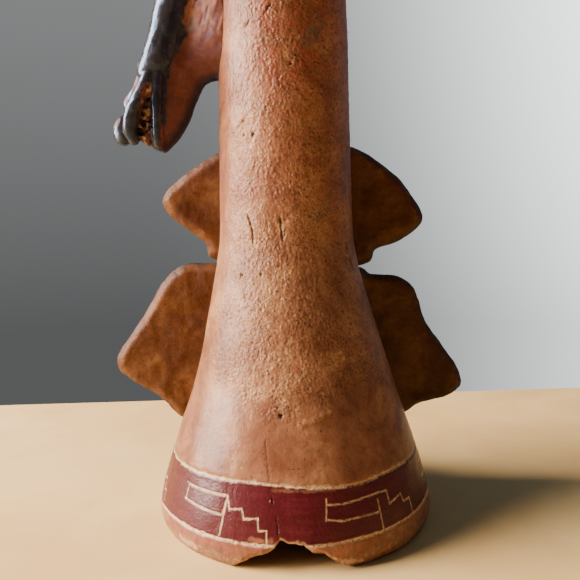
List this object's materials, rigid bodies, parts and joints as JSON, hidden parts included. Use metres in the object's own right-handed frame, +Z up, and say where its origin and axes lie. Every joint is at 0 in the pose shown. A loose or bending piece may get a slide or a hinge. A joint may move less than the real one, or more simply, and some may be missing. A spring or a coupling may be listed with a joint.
{
  "type": "terracotta bell figure with slab wings",
  "caption": "Hand-built hollow terracotta figure: bell skirt with a scraped burgundy hem band, column body, slab wings behind, black-slipped arms and head.",
  "frame": {"origin": "on the surface the figure stands on, under the axis of the bell skirt", "axes": "+Z up, the figure faces -Y, +X is the viewer's right"},
  "size_m": [0.1289, 0.0896, 0.2769],
  "materials": {
    "skirt_clay": "burnished terracotta, scraped step-fret lines in a burgundy slip band at the hem",
    "column_clay": "burnished terracotta with pits, short cracks and a thin pinkish slip tint towards the top",
    "wing_clay": "plain burnished terracotta in front, black slip over the rims and the far side",
    "web_clay": "plain terracotta, scraped with a tool",
    "arm_black_slip": "glossy burnished black slip over terracotta, worn to bare clay at the fingers",
    "face_black_slip": "burnished black slip over terracotta",
    "hair_black_slip": "black slip, combed with a pointed tool",
    "burgundy_slip": "burnished burgundy slip",
    "eye_clay": "pellets of bare terracotta"
  },
  "bodies": {
    "root": {"bell_skirt": "skirt_clay", "body_column": "column_clay", "wing_spine": "wing_clay", "upper_wing_left": "wing_clay", "upper_wing_right": "wing_clay", "lower_wing_left": "wing_clay", "lower_wing_right": "wing_clay", "lowered_arm_web": "web_clay", "lowered_palm": "web_clay", "lowered_arm": "arm_black_slip", "lowered_finger_1": "arm_black_slip", "lowered_finger_2": "arm_black_slip", "lowered_finger_3": "arm_black_slip", "lowered_finger_4": "arm_black_slip", "folded_upper_arm": "arm_black_slip", "folded_forearm": "arm_black_slip", "folded_palm": "arm_black_slip", "folded_finger_1": "arm_black_slip", "folded_finger_2": "arm_black_slip", "folded_finger_3": "arm_black_slip", "folded_finger_4": "arm_black_slip", "folded_thumb": "arm_black_slip", "head": "face_black_slip", "nose": "face_black_slip", "ear_left": "face_black_slip", "ear_right": "face_black_slip", "hair_cap": "hair_black_slip", "hair_knot": "hair_black_slip", "headband": "burgundy_slip", "upper_lip": "burgundy_slip", "lower_lip": "burgundy_slip", "ear_spool_left": "burgundy_slip", "ear_spool_right": "burgundy_slip", "eye_left": "eye_clay", "eye_right": "eye_clay"}
  },
  "joints": []
}
